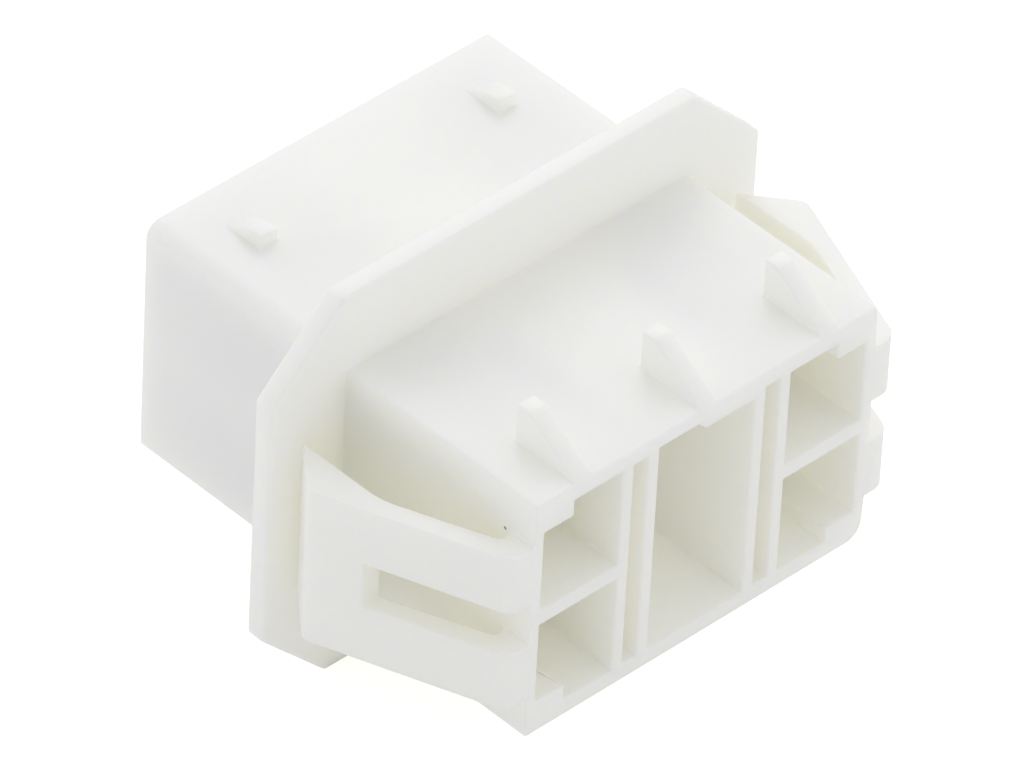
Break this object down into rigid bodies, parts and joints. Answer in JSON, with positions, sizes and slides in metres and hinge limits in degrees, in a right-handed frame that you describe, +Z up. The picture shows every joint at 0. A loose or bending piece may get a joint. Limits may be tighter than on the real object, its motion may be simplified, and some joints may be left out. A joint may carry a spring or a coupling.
{
  "type": "wire to board connector housing",
  "caption": "Panel-mount connector housing moulded in one piece, with a chamfered flange, forked snap-in arms, stepped contact cavities and an open centre channel.",
  "frame": {"origin": "on the body's long axis, in the front plane of the flange, which sits against the panel", "axes": "+X across the columns of contact cavities, +Y from the wires toward the board half, +Z up toward the ribs and bumps"},
  "size_m": [0.0326, 0.0271, 0.0233],
  "materials": {
    "natural_nylon": "off-white unfilled nylon, satin as moulded, slightly translucent in its thin walls"
  },
  "bodies": {
    "root": {"housing": "natural_nylon"}
  },
  "joints": []
}
